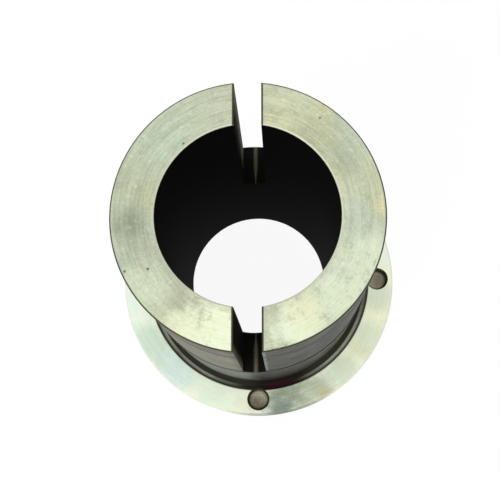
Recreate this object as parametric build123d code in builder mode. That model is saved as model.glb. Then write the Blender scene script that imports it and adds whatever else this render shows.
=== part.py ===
from build123d import *

import math
import os

# Taper bush: a flanged sleeve with a bored through hole, two clamping slots and a tapered outside.
# Millimetres. The bore axis is Z, the flange lies on the XY plane and the small end points up.
os.makedirs("parts", exist_ok=True)

# Overall shape
overall_length = 127.0
flange_radius = 55.5
flange_thickness = 8.0
bore_radius = 27.5

# Barrel: a short parallel lead, the gripping taper, then a parallel land down to the flange
lead_radius = 40.6
lead_length = 18.0
taper_small_radius = 40.65
taper_large_radius = 41.25
taper_end_height = 58.5
land_radius = 41.5

# Relief groove turned where the land meets the flange
relief_arc_radius = 2.1
relief_depth = 1.2
relief_width = 4.0

# Two clamping slots opposite each other, open at the small end
slot_count = 2
slot_width = 8.2
slot_floor_height = 59.5
slot_floor_arc_radius = 10.0

# Blind drilled holes in the flange's upper face
hole_count = 4
hole_radius = 4.5
hole_circle_radius = 49.0
hole_depth = 3.5
drill_point_angle = 118.0

# Edge breaks
flange_rim_chamfer = 0.8
flange_lower_chamfer = 1.0
bore_chamfer = 0.5
small_end_chamfer = 0.4
slot_edge_break = 0.4

# How far the slot cutter runs past the work
cutter_overrun = 10.0

# Places that follow from the dimensions above
lead_bottom = overall_length - lead_length
relief_rim_radius = land_radius + relief_width
relief_centre_radius = land_radius + relief_arc_radius
relief_centre_height = flange_thickness - relief_depth + relief_arc_radius
slot_cut_top = overall_length + cutter_overrun
slot_reach = land_radius + cutter_overrun

with BuildPart() as bush:
    # Turned body
    with BuildSketch(Plane.XZ) as turned:
        with BuildLine() as outline:
            lower_rim = (flange_radius, flange_lower_chamfer)
            upper_rim = (flange_radius, flange_thickness - flange_rim_chamfer)
            rim_inner = (flange_radius - flange_rim_chamfer, flange_thickness)
            relief_rim = (relief_rim_radius, flange_thickness)
            relief_start = (land_radius, relief_centre_height)
            relief_bottom = (relief_centre_radius, flange_thickness - relief_depth)
            land_top = (land_radius, taper_end_height)
            taper_bottom = (taper_large_radius, taper_end_height)
            taper_top = (taper_small_radius, lead_bottom)
            lead_low = (lead_radius, lead_bottom)
            lead_high = (lead_radius, overall_length - small_end_chamfer)
            face_outer = (lead_radius - small_end_chamfer, overall_length)
            face_inner = (bore_radius + bore_chamfer, overall_length)
            bore_high = (bore_radius, overall_length - bore_chamfer)
            bore_low = (bore_radius, bore_chamfer)
            base_inner = (bore_radius + bore_chamfer, 0)
            base_outer = (flange_radius - flange_lower_chamfer, 0)
            Polyline(base_outer, lower_rim, upper_rim, rim_inner, relief_rim)
            ThreePointArc(relief_rim, relief_bottom, relief_start)
            Polyline(relief_start, land_top, taper_bottom, taper_top, lead_low, lead_high, face_outer)
            Polyline(face_outer, face_inner, bore_high, bore_low, base_inner, base_outer)
        make_face()
    revolve(axis=Axis.Z)

    # Clamping slots: square walls down to a shallow concave floor
    with BuildSketch(Plane.XZ) as slot_profile:
        with BuildLine() as slot_outline:
            half_width = slot_width / 2
            floor_left = (-half_width, slot_floor_height)
            floor_right = (half_width, slot_floor_height)
            top_left = (-half_width, slot_cut_top)
            top_right = (half_width, slot_cut_top)
            RadiusArc(floor_left, floor_right, -slot_floor_arc_radius)
            Polyline(floor_right, top_right, top_left, floor_left)
        make_face()
    extrude(amount=slot_reach, both=True, mode=Mode.SUBTRACT)

    # Blind drilled holes with a drill point and a broken edge
    point_height = hole_radius / math.tan(math.radians(drill_point_angle / 2))
    shoulder_height = flange_thickness - hole_depth
    with Locations((0, 0, shoulder_height)):
        with PolarLocations(hole_circle_radius, hole_count):
            Cylinder(
                hole_radius,
                hole_depth + 1,
                align=(Align.CENTER, Align.CENTER, Align.MIN),
                mode=Mode.SUBTRACT,
            )
    with Locations((0, 0, shoulder_height - point_height)):
        with PolarLocations(hole_circle_radius, hole_count):
            Cone(
                0,
                hole_radius,
                point_height,
                align=(Align.CENTER, Align.CENTER, Align.MIN),
                mode=Mode.SUBTRACT,
            )

    # Broken edges along the slots at the small end
    small_end = bush.faces().filter_by(GeomType.PLANE).filter_by(Axis.Z).sort_by(Axis.Z)[-slot_count:]
    slot_mouth = small_end.edges().filter_by(GeomType.LINE)
    fillet(slot_mouth, slot_edge_break)

bush.part.label = "bush"
export_step(bush.part, "parts/bush.step")
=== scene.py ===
import bpy
from mathutils import Matrix, Vector


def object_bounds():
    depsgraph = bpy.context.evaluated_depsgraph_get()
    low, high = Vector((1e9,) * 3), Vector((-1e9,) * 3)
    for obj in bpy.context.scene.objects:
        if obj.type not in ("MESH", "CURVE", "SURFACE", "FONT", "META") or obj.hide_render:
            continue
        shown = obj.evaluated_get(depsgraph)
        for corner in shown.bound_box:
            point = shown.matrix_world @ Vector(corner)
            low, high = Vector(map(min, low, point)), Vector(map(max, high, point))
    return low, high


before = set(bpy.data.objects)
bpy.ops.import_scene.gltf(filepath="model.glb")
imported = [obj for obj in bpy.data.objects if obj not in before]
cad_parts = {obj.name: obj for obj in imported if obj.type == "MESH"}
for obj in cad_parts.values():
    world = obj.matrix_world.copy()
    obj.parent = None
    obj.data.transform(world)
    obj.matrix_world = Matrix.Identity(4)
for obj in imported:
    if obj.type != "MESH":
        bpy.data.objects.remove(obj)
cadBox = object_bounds()
print("frame loaded")

scene = bpy.context.scene
scene.view_settings.view_transform = "Standard"

mm = 0.001  # metres in a millimetre


class Sock:
    # a node socket that can be used in arithmetic
    def __init__(self, tree, link):
        self.tree = tree
        self.link = link

    def join(self, how, other=0.0, flip=False):
        node = self.tree.nodes.new("ShaderNodeMath")
        node.operation = how
        first, second = (other, self) if flip else (self, other)
        for socket, value in zip(node.inputs, (first, second)):
            if isinstance(value, Sock):
                self.tree.links.new(value.link, socket)
            else:
                socket.default_value = value
        return Sock(self.tree, node.outputs[0])

    def __add__(self, other):
        return self.join("ADD", other)

    def __radd__(self, other):
        return self.join("ADD", other, True)

    def __sub__(self, other):
        return self.join("SUBTRACT", other)

    def __rsub__(self, other):
        return self.join("SUBTRACT", other, True)

    def __mul__(self, other):
        return self.join("MULTIPLY", other)

    def __rmul__(self, other):
        return self.join("MULTIPLY", other, True)

    def __truediv__(self, other):
        return self.join("DIVIDE", other)

    def __rtruediv__(self, other):
        return self.join("DIVIDE", other, True)

    def __pow__(self, other):
        return self.join("POWER", other)

    def __rpow__(self, other):
        return self.join("POWER", other, True)

    def __neg__(self):
        return 0.0 - self

    def __abs__(self):
        return self.join("ABSOLUTE")

    def lesser(self, other):
        return self.join("MINIMUM", other)

    def greater(self, other):
        return self.join("MAXIMUM", other)


class Recipe:
    # one material's node tree and the single way nodes are added to it
    def __init__(self, name):
        self.material = bpy.data.materials.new(name)
        self.material.use_nodes = True
        self.tree = self.material.node_tree
        self.tree.nodes.clear()

    def node(self, kind, settings=None, inputs=None, out=0):
        # a tuple for out gives that many sockets, anything else gives one
        made = self.tree.nodes.new(kind)
        for key, value in (settings or {}).items():
            if key == "stops":
                fillRamp(made, value)
            else:
                setattr(made, key, value)
        for key, value in (inputs or {}).items():
            socket = made.inputs[key]
            if isinstance(value, Sock):
                self.tree.links.new(value.link, socket)
            else:
                socket.default_value = value
        if isinstance(out, tuple):
            return tuple(Sock(self.tree, made.outputs[name]) for name in out)
        return Sock(self.tree, made.outputs[out])

    def mix(self, factor, first, second, how="MIX"):
        # colour mix: sockets 6 and 7 carry the colours, output 2 the result; a tuple is a screen colour
        first, second = (shade(c) + (1.0,) if isinstance(c, tuple) else c for c in (first, second))
        settings = {"data_type": "RGBA", "blend_type": how}
        return self.node("ShaderNodeMix", settings, {0: factor, 6: first, 7: second}, 2)

    def step(self, value, low, high, outLow=0.0, outHigh=1.0):
        # smooth change from outLow at low to outHigh at high
        return self.node(
            "ShaderNodeMapRange",
            {"interpolation_type": "SMOOTHSTEP", "clamp": True},
            {"Value": value, "From Min": low, "From Max": high, "To Min": outLow, "To Max": outHigh},
        )

    def fall(self, value, low, high):
        # 1 up to low, 0 from high on
        return 1.0 - self.step(value, low, high)

    def patches(self, value, levels):
        # where a noise is high: levels are where its patches start, where they are full, and how strong
        low, high, strength = levels
        return self.step(value, low, high, 0.0, strength)

    def noise(self, where, scale, detail, rough, distort=0.0):
        return self.node(
            "ShaderNodeTexNoise",
            {"noise_dimensions": "3D"},
            {"Vector": where, "Scale": scale, "Detail": detail, "Roughness": rough, "Distortion": distort},
        )

    def vector(self, x, y, z):
        return self.node("ShaderNodeCombineXYZ", None, {"X": x, "Y": y, "Z": z})

    def grey(self, value):
        return self.vector(value, value, value)

    def close(self, shader):
        self.node("ShaderNodeOutputMaterial", None, {"Surface": shader}, ())
        return self.material


def fillRamp(node, stops):
    ramp = node.color_ramp
    while len(ramp.elements) > 1:
        ramp.elements.remove(ramp.elements[0])
    ramp.elements[0].position = stops[0][0]
    ramp.elements[0].color = stops[0][1] + (1.0,)
    for place, colour in stops[1:]:
        ramp.elements.new(place).color = colour + (1.0,)


def shade(colour):
    # screen colour, 0 to 255, to the linear value that nodes take
    levels = [level / 255 for level in colour]
    return tuple(v / 12.92 if v <= 0.04045 else ((v + 0.055) / 1.055) ** 2.4 for v in levels)


size = {  # the bush as it is made: radii, heights above the flange's lower face, half the slots' width
    "bore": 27.5 * mm,
    "lead": 40.6 * mm,
    "leadLow": 109.0 * mm,
    "land": 41.5 * mm,
    "taperLow": 58.5 * mm,
    "reliefRim": 45.5 * mm,
    "reliefTop": 8.9 * mm,
    "flangeTop": 8.0 * mm,
    "flange": cadBox[1][0],
    "top": cadBox[1][2],
    "slotHalf": 4.1 * mm,
    "slotFloor": 59.5 * mm,
    "holeRing": 49.0 * mm,
    "hole": 4.5 * mm,
}
grain = {  # unevenness alike in every direction: marks to the metre, detail, roughness and distortion if any
    "drift": (24.0, 3.0, 0.5),
    "cloud": (46.0, 4.0, 0.6),
    "ragged": (110.0, 6.0, 0.68, 0.3),
    "smudge": (270.0, 5.0, 0.75),
    "fleck": (640.0, 4.0, 0.7),
    "speck": (1500.0, 3.0, 0.7),
    "chip": (2300.0, 2.0, 0.6),
}
turning = {  # marks that run round the axis: pitch, how often they break up, detail and roughness
    "arcs": (0.55 * mm, 2.4, 4.0, 0.62),
    "wideArcs": (2.38 * mm, 3.0, 3.0, 0.5),
    "drag": (0.91 * mm, 15.0, 4.0, 0.66),
    "rings": (0.55 * mm, 0.8, 4.0, 0.6),
}


class Spot:
    # a point on the bush: where it lies, which way it faces, and how uneven the finish is there
    def __init__(self, r):
        self.recipe = r
        self.where = r.node("ShaderNodeTexCoord", out="Object")
        self.x, self.y, self.z = r.node("ShaderNodeSeparateXYZ", None, {0: self.where}, (0, 1, 2))
        normal = r.node("ShaderNodeNewGeometry", out="True Normal")
        self.nx, self.ny, self.nz = r.node("ShaderNodeSeparateXYZ", None, {0: normal}, (0, 1, 2))
        self.front = -self.y  # how far towards the front slot
        self.fromSlot = abs(self.x)  # distance from the middle of both slots
        self.radius = (self.x * self.x + self.y * self.y) ** 0.5
        self.out = (self.nx * self.x + self.ny * self.y) / self.radius
        sideHoles = (self.fromSlot - size["holeRing"]) ** 2.0 + self.y * self.y
        otherHoles = self.x * self.x + (abs(self.y) - size["holeRing"]) ** 2.0
        self.fromHole = (sideHoles ** 0.5).lesser(otherHoles ** 0.5)  # distance from the nearest hole's axis
        self.findZones()
        self.addGrain()

    def findZones(self):
        r, z, radius = self.recipe, self.z, self.radius
        self.up = r.step(self.nz, 0.6, 0.85)
        self.outside = r.step(self.out, 0.5, 0.8)
        self.inside = r.step(-self.out, 0.5, 0.8)
        self.onTop = r.step(z, size["top"] - 7 * mm, size["top"] - 2 * mm)
        aboveFlange = r.step(z, size["flangeTop"] + 10 * mm, size["flangeTop"] + 12 * mm)
        belowTop = r.fall(z, size["top"] - 7 * mm, size["top"] - 5 * mm)
        self.paleFace = self.up * (1.0 - aboveFlange * belowTop)
        sideways = r.step(abs(self.nx), 0.8, 0.95) * r.step(z, size["taperLow"], size["slotFloor"])
        inSlot = r.fall(self.fromSlot, size["slotHalf"] + 0.3 * mm, size["slotHalf"] + 0.5 * mm)
        self.slotSide = sideways * inSlot
        slotMiddle = r.fall(self.fromSlot, size["slotHalf"] - 0.1 * mm, size["slotHalf"] + 0.05 * mm)
        floorLow = r.step(z, size["taperLow"] - 0.5 * mm, size["taperLow"] - 0.1 * mm)
        floorHigh = r.fall(z, size["slotFloor"], size["slotFloor"] + 0.3 * mm)
        self.slotBase = slotMiddle * floorLow * floorHigh * r.step(self.nz, 0.5, 0.6)
        grooveOut = r.fall(radius, size["reliefRim"] - 0.1 * mm, size["reliefRim"] + 0.1 * mm)
        grooveIn = r.step(radius, size["land"] - 0.1 * mm, size["land"] + 0.1 * mm)
        grooveHigh = r.fall(z, size["reliefTop"] + 0.5 * mm, size["reliefTop"] + 0.7 * mm)
        self.relief = grooveOut * grooveIn * grooveHigh
        drilled = r.fall(self.fromHole, size["hole"] - 0.05 * mm, size["hole"] + 0.05 * mm)
        self.inHole = drilled * r.fall(z, size["flangeTop"] - 0.4 * mm, size["flangeTop"] - 0.1 * mm)

    def addGrain(self):
        r, x, y, z = self.recipe, self.x, self.y, self.z
        self.drift = r.noise(self.where, *grain["drift"])
        self.cloud = r.noise(r.vector(x + 0.31, y - 0.17, z), *grain["cloud"])
        self.ragged = r.noise(self.where, *grain["ragged"])
        self.smudge = r.noise(self.where, *grain["smudge"])
        self.fleck = r.noise(r.vector(x + 0.4, y, z), *grain["fleck"])
        self.speck = r.noise(self.where, *grain["speck"])
        self.chip = r.noise(r.vector(x * 1.3 + 0.7, y, z), *grain["chip"])
        self.arcs = self.turned(self.radius, *turning["arcs"])
        self.wideArcs = self.turned(self.radius, *turning["wideArcs"])
        self.drag = self.turned(self.radius, *turning["drag"])
        self.rings = self.turned(z, *turning["rings"])

    def turned(self, along, pitch, breaks, detail, rough):
        # across the marks the noise runs at their pitch, and round the axis it changes slowly
        cosTurn = self.x / self.radius
        sinTurn = self.y / self.radius
        across = self.recipe.vector(along / pitch, cosTurn * breaks, sinTurn * breaks)
        return self.recipe.noise(across, 1.0, detail, rough)

    def fromPlace(self, px, py):
        return ((self.x - px) ** 2.0 + (self.y - py) ** 2.0) ** 0.5


markEdge = {"wander": 2.2, "outer": 1.35, "fade": 1.1}  # in shares of a mark's reach


def cloudMarks(spot, base, marks, ragged):
    # each mark is a soft round cloud whose edge follows the ragged noise
    for (px, py), reach, colour, strength in marks:
        away = spot.fromPlace(px, py) / reach + (ragged - 0.5) * markEdge["wander"]
        inside = spot.recipe.step(markEdge["outer"] - away, 0.0, markEdge["fade"], 0.0, strength)
        base = spot.recipe.mix(inside, base, colour)
    return base


smallFace = {  # the zinc passivate on the small end, pale yellow green
    "coat": (181, 184, 154),
    "blue": (172, 181, 160),
    "bluePatches": (0.42, 0.62, 1.0),
    "gold": (196, 193, 150),
    "goldPatches": (0.50, 0.68, 1.0),
    "scuff": (136, 139, 114),
    "scuffTurned": (0.54, 0.68, 0.45),
    "scuffSmudge": (0.50, 0.68, 0.50),
    "scuffDrag": (0.54, 0.72, 0.26),
    "fleck": (232, 238, 208),
    "fleckPatches": (0.54, 0.78, 0.45),
    "pit": (70, 68, 56),
    "pitStrength": 0.75,
    "pitWander": 1.2,
    "dentDark": (0.50, 0.58, 0.65),
    "dentLight": (0.55, 0.62, 0.80),
}
# cloudy patches on it, lighter towards the front and darker towards the left and back: place on the face,
# reach, colour and strength
smallFaceMarks = [
    ((-0.024, 0.022), 0.011, (176, 190, 168), 0.8),
    ((-0.033, 0.008), 0.009, (170, 176, 146), 0.7),
    ((-0.034, -0.003), 0.006, (126, 130, 110), 0.9),
    ((-0.030, -0.010), 0.006, (158, 161, 138), 0.8),
    ((-0.024, -0.020), 0.009, (164, 168, 146), 0.8),
    ((-0.018, -0.028), 0.006, (152, 156, 136), 0.9),
    ((-0.030, -0.022), 0.008, (206, 214, 182), 0.7),
    ((-0.009, -0.034), 0.011, (230, 236, 204), 0.95),
    ((-0.019, -0.034), 0.007, (226, 230, 196), 0.8),
    ((0.008, -0.029), 0.005, (172, 174, 148), 0.9),
    ((0.014, -0.034), 0.009, (222, 230, 200), 0.9),
    ((0.026, -0.024), 0.010, (210, 220, 192), 0.9),
    ((0.034, -0.013), 0.009, (206, 215, 188), 0.9),
    ((0.031, -0.001), 0.006, (176, 186, 170), 0.8),
    ((0.0398, 0.002), 0.003, (214, 202, 152), 0.6),
    ((0.020, 0.023), 0.010, (172, 174, 142), 0.9),
    ((0.029, 0.015), 0.005, (160, 163, 138), 0.8),
    ((0.012, 0.034), 0.008, (192, 196, 166), 0.7),
    ((-0.010, 0.033), 0.008, (182, 188, 164), 0.8),
    ((0.016, -0.028), 0.006, (224, 222, 186), 0.7),
]
# small pits in it: place and reach
smallFacePits = [
    ((-0.0356, -0.0168), 0.0005),
    ((-0.0288, -0.0162), 0.0005),
    ((-0.0190, 0.0215), 0.0005),
    ((0.0215, 0.0290), 0.0004),
    ((-0.0278, 0.0032), 0.0004),
]


def smallFaceTint(spot):
    r = spot.recipe
    tint = r.mix(r.patches(spot.drift, smallFace["bluePatches"]), smallFace["coat"], smallFace["blue"])
    tint = r.mix(r.patches(spot.cloud, smallFace["goldPatches"]), tint, smallFace["gold"])
    tint = cloudMarks(spot, tint, smallFaceMarks, spot.ragged * 0.45 + spot.smudge * 0.55)
    handled = r.step(spot.cloud, 0.36, 0.62, 0.6, 1.0)  # where handling has marked the coat most
    turnedScuff = r.patches(spot.ragged * 0.6 + spot.arcs * 0.4, smallFace["scuffTurned"])
    smudgeScuff = r.patches(spot.smudge, smallFace["scuffSmudge"]) * handled
    dragScuff = r.patches(spot.drag, smallFace["scuffDrag"]) * handled
    for scuff in (turnedScuff, smudgeScuff, dragScuff):
        tint = r.mix(scuff, tint, smallFace["scuff"])
    return r.mix(r.patches(spot.fleck, smallFace["fleckPatches"]), tint, smallFace["fleck"])


def pitAndDent(spot, tint):
    r = spot.recipe
    for (px, py), reach in smallFacePits:
        away = spot.fromPlace(px, py) / reach + (spot.speck - 0.5) * smallFace["pitWander"]
        pit = r.fall(away, 0.4, 1.2) * spot.onTop
        tint = r.mix(pit * smallFace["pitStrength"], tint, smallFace["pit"])
    # dents on the outer edge, right of the front slot
    dented = r.step(spot.radius, size["lead"] - 1.5 * mm, size["lead"] - 0.7 * mm) * spot.onTop
    dented = dented * r.step(spot.front, 20 * mm, 30 * mm)
    dented = dented * r.step(spot.x, 4 * mm, 6 * mm) * r.fall(spot.x, 11 * mm, 16 * mm)
    dark = r.patches(spot.chip, smallFace["dentDark"]) * dented
    light = r.patches(1.0 - spot.chip, smallFace["dentLight"]) * dented
    tint = r.mix(dark, tint, smallFace["pit"])
    return r.mix(light, tint, smallFace["fleck"])


flangeFace = {  # the zinc passivate on the flange, lighter than on the small end
    "coat": (248, 253, 230),
    "blue": (236, 250, 236),
    "bluePatches": (0.42, 0.62, 1.0),
    "gold": (246, 246, 212),
    "goldPatches": (0.50, 0.66, 1.0),
    "scuff": (136, 139, 114),
    "innerEdgeShade": 0.35,
    "scuffDrag": (0.56, 0.74, 0.14),
    "rim": (204, 208, 188),
    "rimShade": (112, 120, 104),
}
# cloudy marks on it, with a painted shadow of the barrel at the front right: place, reach, colour and
# strength
flangeFaceMarksAndShadow = [
    ((-0.034, -0.037), 0.012, (204, 228, 222), 0.8),
    ((-0.044, -0.026), 0.010, (200, 222, 204), 0.8),
    ((-0.018, -0.047), 0.010, (232, 244, 222), 0.9),
    ((-0.006, -0.051), 0.005, (236, 238, 212), 0.8),
    # painted shadow cast by the barrel, darkest at the front right
    ((0.008, -0.050), 0.009, (132, 144, 126), 1.0),
    ((0.016, -0.049), 0.008, (152, 160, 136), 1.0),
    ((0.010, -0.053), 0.006, (106, 120, 110), 0.9),
    ((0.024, -0.045), 0.007, (178, 188, 162), 0.9),
    ((0.027, -0.047), 0.004, (196, 182, 134), 0.6),
    ((0.035, -0.037), 0.009, (206, 218, 190), 0.8),
    ((0.045, -0.024), 0.009, (210, 222, 196), 0.8),
    ((0.040, -0.028), 0.005, (220, 214, 172), 0.45),
    ((0.050, -0.008), 0.007, (200, 212, 192), 0.7),
]


def flangeFaceTint(spot):
    r = spot.recipe
    tint = r.mix(r.patches(spot.cloud, flangeFace["bluePatches"]), flangeFace["coat"], flangeFace["blue"])
    tint = r.mix(r.patches(spot.drift, flangeFace["goldPatches"]), tint, flangeFace["gold"])
    tint = cloudMarks(spot, tint, flangeFaceMarksAndShadow, spot.ragged)
    # painted shade along the face's inner edge, by the groove's rim
    innerEdge = r.fall(spot.radius, size["reliefRim"], size["reliefRim"] + 0.6 * mm)
    tint = r.mix(innerEdge * flangeFace["innerEdgeShade"], tint, flangeFace["scuff"])
    return r.mix(r.patches(spot.drag, flangeFace["scuffDrag"]), tint, flangeFace["scuff"])


def flangeRimTint(spot):
    r = spot.recipe
    shaded = r.step(spot.front, size["flange"] - 9.5 * mm, size["flange"] - 3.5 * mm)
    shaded = shaded * r.step(spot.x, -16 * mm, 0.0)
    return r.mix(shaded, flangeFace["rim"], flangeFace["rimShade"])


rainbow = {  # the thin coat's own colours, over both zinc faces
    "strength": 0.14,
    "first": 0.30,
    "spacing": 0.13,
    "colours": ((226, 210, 170), (210, 220, 184), (196, 216, 200), (214, 200, 192)),
}


def zincTint(spot):
    r = spot.recipe
    height = 30 * mm  # parts the flange from the small end
    tint = r.mix(r.step(spot.z, height, height + 10 * mm), flangeFaceTint(spot), smallFaceTint(spot))
    stops = [(rainbow["first"] + rainbow["spacing"] * n, shade(c)) for n, c in enumerate(rainbow["colours"])]
    film = r.node("ShaderNodeValToRGB", {"stops": stops}, {"Fac": spot.wideArcs * 0.5 + spot.ragged * 0.5})
    return pitAndDent(spot, r.mix(rainbow["strength"], tint, film))


barrel = {  # turned steel in tones darkened to paint the dark surroundings it reflects; the right front, the darkest stretch, is painted shade
    "lead": (86, 84, 72),
    "leadShaded": (54, 53, 45),
    "taper": (108, 106, 89),
    "taperShaded": (48, 49, 43),
    # the land's bluish grey is a painted highlight; its shaded copy is painted shade
    "land": (90, 95, 87),
    "landShaded": (30, 30, 25),
    "landEnds": (54, 54, 45),
    "landEndsStrength": 0.65,
    "seam": (22, 22, 17),  # the line where the taper starts
    "seamStrength": 0.85,
    "ridge": (128, 127, 112),
    "ridgePatches": (0.42, 0.66, 0.26),
    "ridgeShadedPatches": (0.42, 0.66, 0.14),  # how much less it shows on the painted-shade stretch
    "furrow": (46, 45, 38),
    "furrowPatches": (0.44, 0.68, 0.24),
    "smudge": (58, 56, 40),
    "smudgePatches": (0.54, 0.70, 0.25),
}
slotMouth = {  # the barrel beside and below the front slot: a painted highlight along its right edge, painted shade left of it and on the lip under its floor
    "edgeHighlightAndShade": (112, 122, 116),
    "edgeHighlightStrength": 0.75,
    "shade": (58, 55, 46),
    "shadeStrength": 0.6,
    "lipShade": (44, 36, 30),
    "lipShadeStrength": 0.8,
}


def barrelTint(spot):
    r, x, z = spot.recipe, spot.x, spot.z
    ahead = r.step(spot.front, 0.0, 30 * mm)
    wander = (spot.drift - 0.5) * 10 * mm
    # painted shade on the right front of the barrel, its edge wandering
    dark = r.step(x + wander, -4 * mm, 3 * mm) * ahead
    lead = r.mix(dark, barrel["lead"], barrel["leadShaded"])
    taper = r.mix(dark, barrel["taper"], barrel["taperShaded"])
    land = r.mix(dark, barrel["land"], barrel["landShaded"])
    upperEnd = r.step(z, size["taperLow"] - 12.5 * mm, size["taperLow"] - 0.5 * mm)
    lowerEnd = r.fall(z, size["flangeTop"] + 2 * mm, size["flangeTop"] + 14 * mm)
    land = r.mix(upperEnd.greater(lowerEnd) * barrel["landEndsStrength"], land, barrel["landEnds"])
    tint = r.mix(r.step(z, size["taperLow"] - 0.7 * mm, size["taperLow"] + 0.7 * mm), land, taper)
    tint = r.mix(r.step(z, size["leadLow"] - 0.6 * mm, size["leadLow"] + 0.6 * mm), tint, lead)
    ridge = r.patches(spot.rings, barrel["ridgePatches"])
    ridge = ridge - r.patches(spot.rings, barrel["ridgeShadedPatches"]) * dark
    furrow = r.patches(1.0 - spot.rings, barrel["furrowPatches"])
    tint = r.mix(ridge, tint, barrel["ridge"])
    tint = r.mix(furrow, tint, barrel["furrow"])
    tint = r.mix(r.patches(spot.smudge, barrel["smudgePatches"]), tint, barrel["smudge"])
    tint = slotMouthTint(spot, tint, ahead)
    seam = r.fall(abs(z - size["leadLow"]), 0.2 * mm, 0.9 * mm)
    return r.mix(seam * barrel["seamStrength"], tint, barrel["seam"])


def slotMouthTint(spot, tint, ahead):
    r, x, z = spot.recipe, spot.x, spot.z
    beside = r.step(z, size["slotFloor"], size["slotFloor"] + 1 * mm) * ahead
    # painted highlight along the slot's right edge
    edgeHighlightAndShade = r.fall(abs(x - (size["slotHalf"] + 0.4 * mm)), 0.2 * mm, 0.8 * mm) * beside
    # painted shade on the left of the slot
    shaded = r.fall(-x, size["slotHalf"] + 0.1 * mm, size["slotHalf"] + 2.7 * mm) * beside
    shaded = shaded * r.fall(x, 0.0, 2 * mm)  # on the left of the slot only
    # painted shade on the lip below the slot's floor
    below = r.fall(spot.fromSlot, size["slotHalf"] - 0.5 * mm, size["slotHalf"] + 1.1 * mm) * ahead
    below = below * r.step(z, size["taperLow"] - 6.5 * mm, size["taperLow"] - 1 * mm)
    below = below * r.fall(z, size["slotFloor"] + 0.5 * mm, size["slotFloor"] + 0.9 * mm)
    tint = r.mix(edgeHighlightAndShade * slotMouth["edgeHighlightStrength"], tint, slotMouth["edgeHighlightAndShade"])
    tint = r.mix(shaded * slotMouth["shadeStrength"], tint, slotMouth["shade"])
    return r.mix(below * slotMouth["lipShadeStrength"], tint, slotMouth["lipShade"])


groove = {  # the rounded relief between the barrel and the flange: its dark hollow is painted shade, with a painted highlight line where its bottom faces up and deeper painted shade at the front
    "hollowShade": (46, 45, 36),
    "grooveHighlight": (150, 155, 144),
    "grooveHighlightRadius": 44.1 * mm,
    "rim": (98, 95, 74),
    "frontShade": (20, 17, 15),
    "frontShadeStrength": 0.8,
    "purpleTint": (58, 22, 34),  # a reddish purple tint at the front
    "purpleTintStrength": 0.6,
}


def grooveTint(spot):
    r, x, front = spot.recipe, spot.x, spot.front
    # painted highlight along the groove's bottom, on the left and right
    grooveHighlight = r.fall(abs(spot.radius - groove["grooveHighlightRadius"]), 0.2 * mm, 0.9 * mm)
    lit = r.step(x, 10 * mm, 26 * mm).greater(r.fall(x, -16 * mm, -4 * mm))
    lit = lit * r.step(spot.cloud, 0.30, 0.50, 0.5, 1.0)
    tint = r.mix(grooveHighlight * lit, groove["hollowShade"], groove["grooveHighlight"])
    rim = r.step(spot.radius, size["reliefRim"] - 1 * mm, size["reliefRim"] - 0.3 * mm)
    tint = r.mix(rim, tint, groove["rim"])
    # painted shade in the front of the groove
    frontShade = r.step(front, 30 * mm, 40 * mm) * r.step(x, -8 * mm, 4 * mm) * r.fall(x, 14 * mm, 26 * mm)
    purpleTint = r.step(front, 30 * mm, 42 * mm) * r.step(x, 0.0, 6 * mm) * r.fall(x, 10 * mm, 18 * mm)
    purpleTint = purpleTint * r.step(spot.radius, size["land"] + 0.7 * mm, size["land"] + 1.9 * mm)
    tint = r.mix(frontShade * groove["frontShadeStrength"], tint, groove["frontShade"])
    return r.mix(purpleTint * groove["purpleTintStrength"], tint, groove["purpleTint"])


bore = {"wall": (5, 5, 5), "wallLow": (26, 27, 26)}


def boreTint(spot):
    return spot.recipe.mix(spot.recipe.fall(spot.z, 0.0, 50 * mm), bore["wall"], bore["wallLow"])


slot = {  # the walls' colours at the barrel and at the bore, darker towards the bore as painted shade, and the floor's, dark with a painted highlight strip along its middle
    "frontMouth": (92, 86, 70),
    "frontDeepShade": (16, 15, 12),
    "backMouth": (108, 103, 88),
    "backDeepShade": (22, 22, 17),
    "floor": (22, 22, 17),
    "floorHighlight": (96, 95, 78),
}


def slotWallTint(spot):
    r = spot.recipe
    # painted shade: the walls darken towards the bore
    front = r.mix(r.step(spot.radius, 37 * mm, 40.5 * mm), slot["frontDeepShade"], slot["frontMouth"])
    back = r.mix(r.step(spot.radius, 30 * mm, 38 * mm), slot["backDeepShade"], slot["backMouth"])
    return r.mix(r.step(spot.y, -10 * mm, 10 * mm), front, back)


def slotFloorTint(spot):
    r = spot.recipe
    # painted highlight: a strip along the floor's middle
    wander = abs(spot.x - 0.5 * mm) + (spot.ragged - 0.5) * 0.4 * mm
    strip = wander / r.step(spot.radius, size["bore"] - 0.3 * mm, 34 * mm, 0.25, 1.0)  # widens outwards
    return r.mix(r.step(strip, 0.1 * mm, 1.1 * mm), slot["floorHighlight"], slot["floor"])


hole = {  # the drilled holes in the flange, with turning marks on their floors; the wall colour is painted shade, darkening the floor towards the wall
    "floor": (194, 186, 162),
    "wall": (64, 60, 46),
    "swirl": (58, 56, 40),
    "swirlPatches": (0.40, 0.70, 0.45),
    "swirlPitch": 0.385 * mm,
    "swirlBreaks": 300.0,
}


def holeTint(spot):
    r = spot.recipe
    breaks = hole["swirlBreaks"]
    # painted shade towards the hole's wall
    wander = spot.fromHole + (spot.ragged - 0.5) * 0.6 * mm
    holeWallShade = r.step(wander, size["hole"] - 1.7 * mm, size["hole"] - 0.5 * mm)
    tint = r.mix(holeWallShade, hole["floor"], hole["wall"])
    across = r.vector(spot.fromHole / hole["swirlPitch"], spot.x * breaks, spot.y * breaks)
    swirl = r.noise(across, 1.0, 3.0, 0.6)
    return r.mix(r.patches(swirl, hole["swirlPatches"]), tint, hole["swirl"])


# painted light on the small end's broken edges: a highlight at the bore, shade outside and along the slots
brokenEdge = {"boreEdgeHighlight": (206, 208, 184), "edgeHighlightAndShade": (58, 56, 40)}


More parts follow.
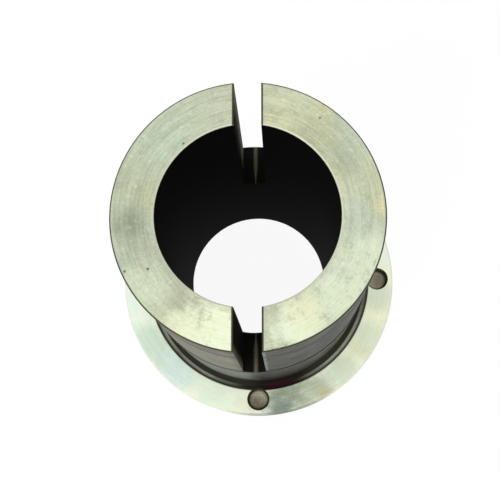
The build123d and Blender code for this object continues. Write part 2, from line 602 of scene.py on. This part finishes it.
def brokenEdgeTint(spot, tint):
    # the broken edges round the small end, painted: a painted highlight at the bore, painted shade outside
    # and along the slots
    r = spot.recipe
    nearTop = r.step(spot.z, size["top"] - 0.6 * mm, size["top"] - 0.3 * mm)
    outer = nearTop * r.step(spot.radius, size["lead"] - 0.6 * mm, size["lead"] - 0.3 * mm)
    inner = nearTop * r.fall(spot.radius, size["bore"] + 0.4 * mm, size["bore"] + 0.6 * mm)
    along = nearTop * r.fall(spot.fromSlot, size["slotHalf"] + 0.4 * mm, size["slotHalf"] + 0.7 * mm)
    tint = r.mix(inner, tint, brokenEdge["boreEdgeHighlight"])
    return r.mix(outer.greater(along), tint, brokenEdge["edgeHighlightAndShade"])


finish = {
    "turnedLines": 0.13,  # how strongly the turning marks and specks show in the colour
    "specks": 0.26,
    "bump": 0.25,
    "bumpHeight": 0.2 * mm,
    "metal": 0.55,
    "roughLow": 0.32,
    "roughHigh": 0.50,
    "dullRough": 0.8,
    "dullShine": 0.02,
    "dullSide": 0.5,  # how far the barrel leaves the bright finish, 0 to 1
}


def bushTint(spot):
    # later surfaces lie over earlier ones where their zones meet
    r = spot.recipe
    rimSide = r.step(spot.radius, size["flange"] - 5.5 * mm, size["flange"] - 3.5 * mm)
    tint = r.mix(rimSide, barrelTint(spot), flangeRimTint(spot))
    tint = r.mix(spot.paleFace, tint, zincTint(spot))
    tint = r.mix(spot.slotSide, tint, slotWallTint(spot))
    tint = r.mix(spot.slotBase, tint, slotFloorTint(spot))
    tint = r.mix(spot.inside, tint, boreTint(spot))
    tint = brokenEdgeTint(spot, tint)
    tint = r.mix(spot.relief, tint, grooveTint(spot))
    tint = r.mix(spot.inHole, tint, holeTint(spot))
    lines = r.mix(spot.up, r.grey(spot.rings), r.grey(r.step(spot.arcs, 0.30, 0.70)))
    tint = r.mix(finish["turnedLines"], tint, lines, "OVERLAY")
    return r.mix(finish["specks"], tint, r.grey(spot.speck), "OVERLAY")


def bushBump(spot):
    r = spot.recipe
    upHeight = r.vector(spot.arcs * 0.6 + spot.ragged * 0.4, 0.0, 0.0)
    height = r.mix(spot.up, r.grey(spot.rings), upHeight)
    inputs = {"Strength": finish["bump"], "Distance": finish["bumpHeight"], "Height": height}
    return r.node("ShaderNodeBump", None, inputs)


def finishZinc():
    r = Recipe("zinc_steel")
    spot = Spot(r)
    both = {"Base Color": bushTint(spot), "Normal": bushBump(spot)}
    rough = r.step(spot.ragged, 0.3, 0.7, finish["roughLow"], finish["roughHigh"])
    bright = {"Metallic": finish["metal"], "Roughness": rough}
    dull = {"Metallic": 0.0, "Roughness": finish["dullRough"], "Specular IOR Level": finish["dullShine"]}
    brightSteel = r.node("ShaderNodeBsdfPrincipled", None, both | bright)
    dullSteel = r.node("ShaderNodeBsdfPrincipled", None, both | dull)
    shut = spot.inside + spot.slotSide + spot.slotBase + spot.relief + spot.inHole
    shut = (shut + spot.outside * finish["dullSide"]).lesser(1.0)
    return r.close(r.node("ShaderNodeMixShader", None, {0: shut, 1: brightSteel, 2: dullSteel}))


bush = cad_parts["bush"]
bush.data.materials.clear()
bush.data.materials.append(finishZinc())
print("bush finished")


backdrop = {
    "size": 1.6,
    "white": 1.0,
    "glow": 0.93,  # under 1 lets the shadow show
    "cloth": 0.9,  # what light on the bush meets, 0 to 1
}


def whiteSurface(name):
    r = Recipe(name)
    rays = ("Is Camera Ray", "Is Glossy Ray", "Is Transmission Ray")
    direct, mirrored, through = r.node("ShaderNodeLightPath", out=rays)
    cloth = r.node("ShaderNodeBsdfDiffuse", None, {"Color": (backdrop["cloth"],) * 3 + (1.0,)})
    glow = r.node("ShaderNodeEmission", None, {"Color": (1.0, 1.0, 1.0, 1.0), "Strength": backdrop["white"]})
    seen = direct.greater(mirrored).greater(through) * backdrop["glow"]
    return r.close(r.node("ShaderNodeMixShader", None, {0: seen, 1: cloth, 2: glow}))


def layFloor():
    half = backdrop["size"] / 2
    corners = [(-half, -half, 0), (half, -half, 0), (half, half, 0), (-half, half, 0)]
    mesh = bpy.data.meshes.new("floor")
    mesh.from_pydata(corners, [], [(0, 1, 2, 3)])
    floor = bpy.data.objects.new("floor", mesh)
    scene.collection.objects.link(floor)
    mesh.materials.append(whiteSurface("white_floor"))


lights = {
    "sky": 1.0,  # level of the white surroundings
    "aim": (0.0, 0.0, 0.06),  # about half way up the bush
    "areas": [  # name, place, size and power
        ("key", (-0.45, -0.55, 0.75), 0.5, 3.6),
        ("fill", (0.6, 0.3, 0.8), 0.6, 0.8),
    ],
}


def areaLight(name, place, width, power):
    lamp = bpy.data.lights.new(name, "AREA")
    lamp.size = width
    lamp.energy = power
    holder = bpy.data.objects.new(name, lamp)
    scene.collection.objects.link(holder)
    holder.location = place
    holder.rotation_euler = (Vector(lights["aim"]) - Vector(place)).to_track_quat("-Z", "Y").to_euler()


def lightRoom():
    world = bpy.data.worlds.new("room")
    scene.world = world
    world.use_nodes = True
    background = world.node_tree.nodes["Background"]
    background.inputs["Color"].default_value = (1, 1, 1, 1)
    background.inputs["Strength"].default_value = lights["sky"]
    for area in lights["areas"]:
        areaLight(*area)


layFloor()
lightRoom()
print("floor and lights placed")


view = {
    "place": (0.0101, -0.0634, 0.3965),  # metres, in the bush's own frame
    "turn": (-0.1929, -0.0340, 0.0068),  # tip, tilt and roll of the world seen from the lens, radians
    "lens": 68.4,  # mm, on a 36 mm wide sensor
}


def placeCamera():
    tip, tilt, roll = view["turn"]
    turned = Matrix.Rotation(roll, 3, "Z") @ Matrix.Rotation(tilt, 3, "Y") @ Matrix.Rotation(tip, 3, "X")
    lens = bpy.data.cameras.new("camera")
    lens.lens = view["lens"]
    lens.sensor_width = 36.0
    lens.clip_start = 0.01
    camera = bpy.data.objects.new("camera", lens)
    camera.matrix_world = Matrix.Translation(view["place"]) @ turned.transposed().to_4x4()
    scene.collection.objects.link(camera)
    scene.camera = camera


placeCamera()
print("camera placed")
